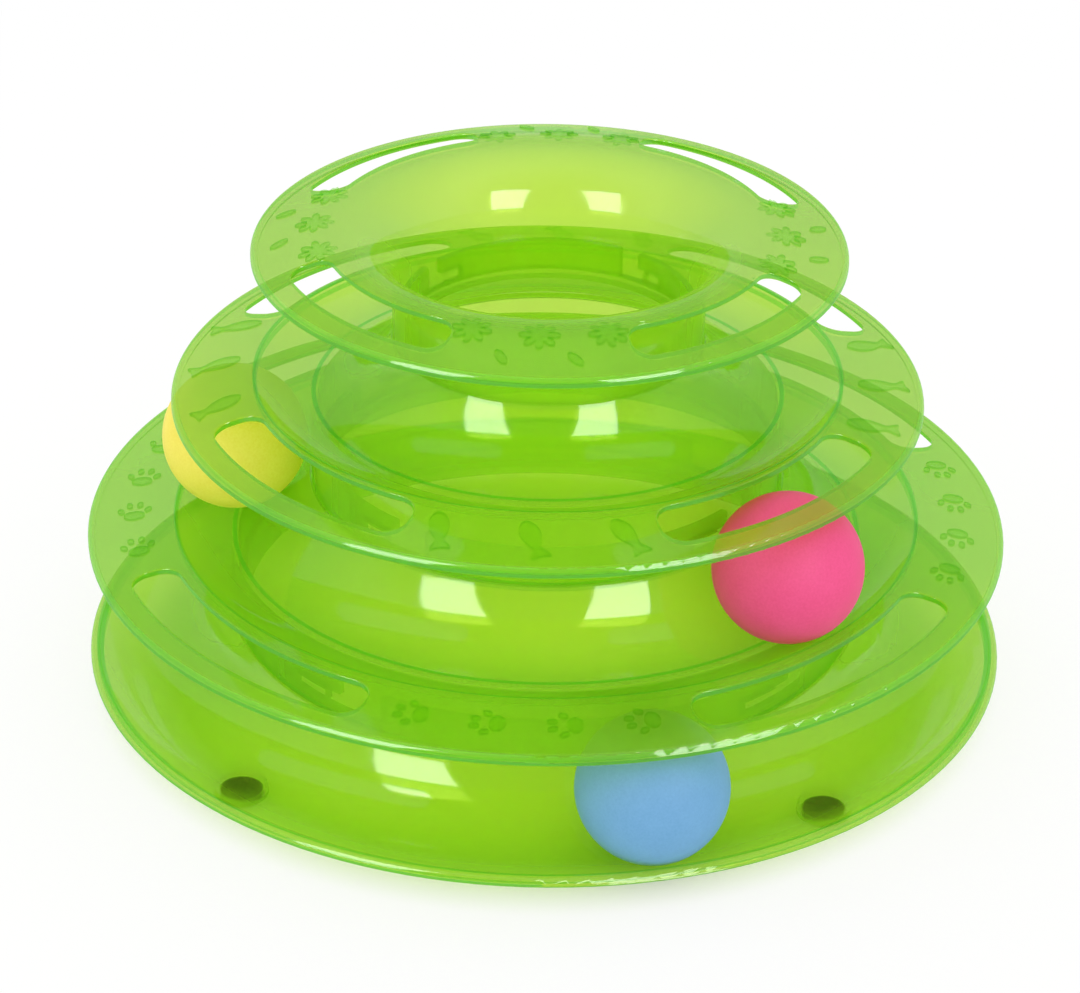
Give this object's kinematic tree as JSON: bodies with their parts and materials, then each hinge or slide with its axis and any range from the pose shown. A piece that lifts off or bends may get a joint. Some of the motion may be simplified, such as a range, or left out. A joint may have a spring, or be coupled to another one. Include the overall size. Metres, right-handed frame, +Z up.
{
  "type": "cat ball track toy",
  "caption": "Round tower of stacked translucent green plastic rings that twist-lock together, with coloured balls that run in the curved tracks between the rings for a cat to bat.",
  "frame": {"origin": "on the tower's axis, on the surface that its feet stand on", "axes": "+Z up along the tower's axis, -Y towards the front in the picture, +X to the right"},
  "size_m": [0.246, 0.246, 0.1293],
  "materials": {
    "green_plastic": "glossy translucent moulding",
    "black_rubber": "matte",
    "blue_plastic": "matte",
    "pink_plastic": "matte",
    "yellow_plastic": "matte"
  },
  "bodies": {
    "base": {"base_tray": "green_plastic", "foot_front_right": "black_rubber", "foot_back_right": "black_rubber", "foot_back_left": "black_rubber", "foot_front_left": "black_rubber"},
    "lower_ring": {"lower_track_ring": "green_plastic"},
    "upper_ring": {"upper_track_ring": "green_plastic"},
    "top_ring": {"top_ring": "green_plastic"},
    "blue_ball": {"blue_ball": "blue_plastic"},
    "pink_ball": {"pink_ball": "pink_plastic"},
    "yellow_ball": {"yellow_ball": "yellow_plastic"}
  },
  "joints": [
    {"name": "lower_ring_twist", "type": "hinge", "parent": "base", "child": "lower_ring", "pos_m": [0, 0, 0], "axis": [0, 0, 1], "range_deg": [0, 12]},
    {"name": "upper_ring_twist", "type": "hinge", "parent": "lower_ring", "child": "upper_ring", "pos_m": [0, 0, 0], "axis": [0, 0, 1], "range_deg": [0, 12]},
    {"name": "top_ring_twist", "type": "hinge", "parent": "upper_ring", "child": "top_ring", "pos_m": [0, 0, 0], "axis": [0, 0, 1], "range_deg": [0, 12]},
    {"name": "blue_ball_run", "type": "hinge", "parent": "base", "child": "blue_ball", "pos_m": [0, 0, 0], "axis": [0, 0, 1], "continuous": true},
    {"name": "pink_ball_run", "type": "hinge", "parent": "lower_ring", "child": "pink_ball", "pos_m": [0, 0, 0], "axis": [0, 0, 1], "range_deg": [-57, 94]},
    {"name": "yellow_ball_run", "type": "hinge", "parent": "lower_ring", "child": "yellow_ball", "pos_m": [0, 0, 0], "axis": [0, 0, 1], "range_deg": [-94, 57]}
  ]
}
